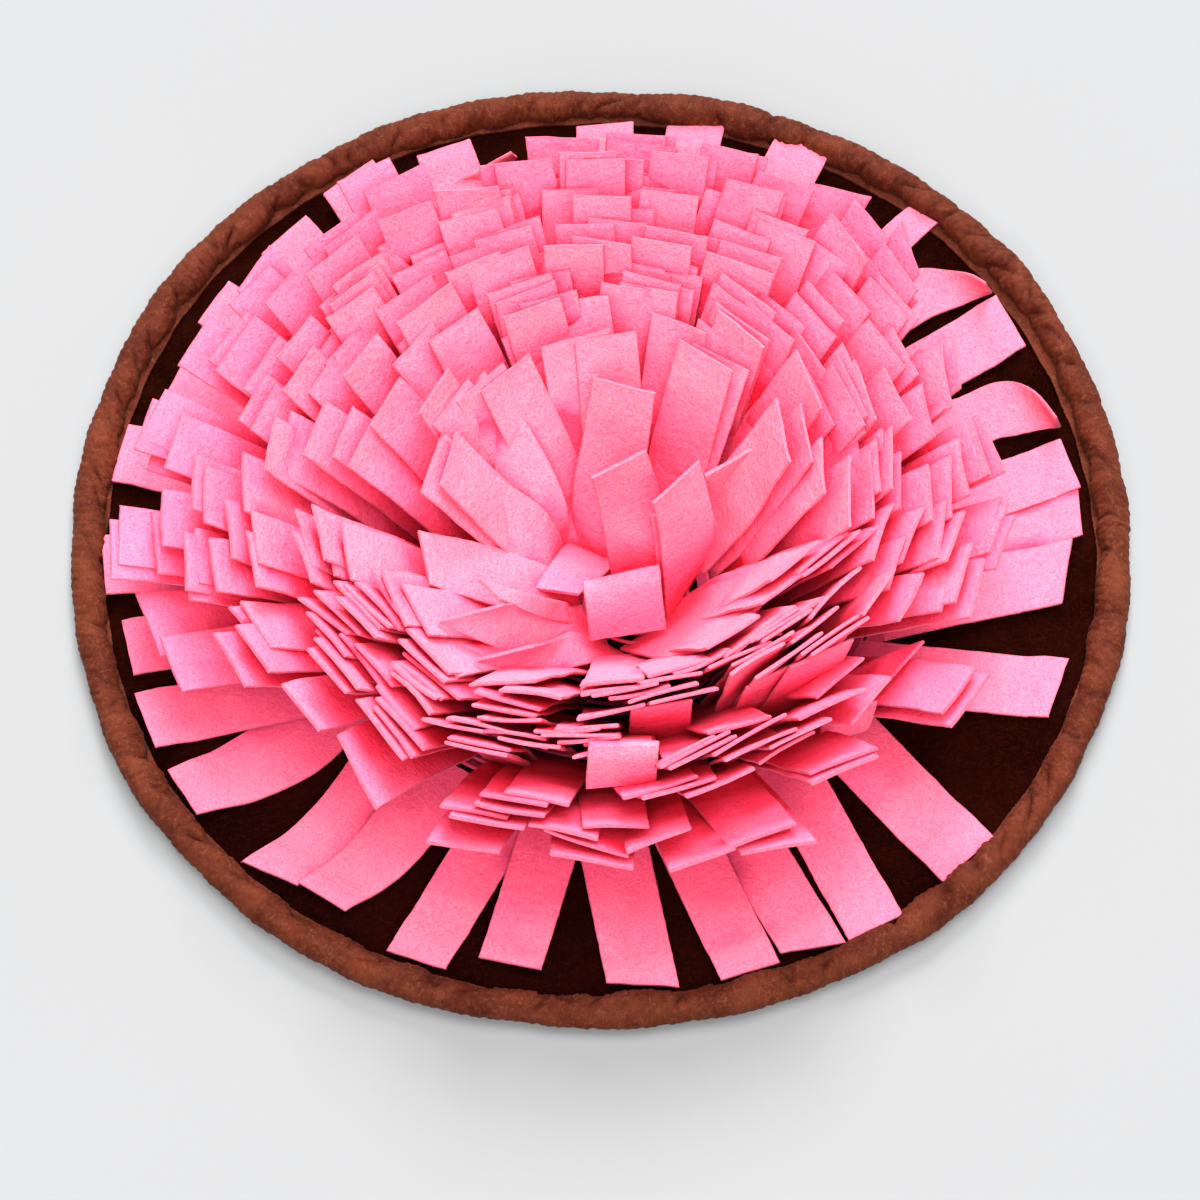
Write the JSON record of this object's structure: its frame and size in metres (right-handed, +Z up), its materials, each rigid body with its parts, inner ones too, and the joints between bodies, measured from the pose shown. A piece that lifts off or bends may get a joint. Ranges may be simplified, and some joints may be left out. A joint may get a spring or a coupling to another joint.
{
  "type": "snuffle mat",
  "caption": "Round foraging mat: flat cloth base, gathered rolled rim, and a flower of felt fringe strips that stand in rings and hide treats.",
  "frame": {"origin": "on the underside of the base cloth, at the middle of the mat", "axes": "+Z up from the surface that the mat lies on; -Y towards the side from which one looks down into the flower"},
  "size_m": [0.446, 0.4465, 0.0868],
  "materials": {
    "felt": "needle-punched polyester felt, matt, with fine mottled fibres and paler rough cut edges",
    "base": "brushed suede-like cloth with a short matt nap",
    "rim": "soft gathered cloth with a faint sheen and uneven puckers"
  },
  "bodies": {
    "root": {"base_cloth": "base", "edge_roll": "rim", "fringe_01_heart": "felt", "fringe_02_ring1": "felt", "fringe_03_ring1": "felt", "fringe_04_ring2": "felt", "fringe_05_ring2": "felt", "fringe_06_ring2": "felt", "fringe_07_ring3": "felt", "fringe_08_ring3": "felt", "fringe_09_ring3": "felt", "fringe_10_ring3": "felt", "fringe_11_ring4": "felt", "fringe_12_ring4": "felt", "fringe_13_ring4": "felt", "fringe_14_ring5": "felt", "fringe_15_ring5": "felt", "fringe_16_ring5": "felt", "fringe_17_ring6": "felt", "fringe_18_ring6": "felt", "fringe_19_ring6": "felt", "fringe_20_flat": "felt"}
  },
  "joints": []
}
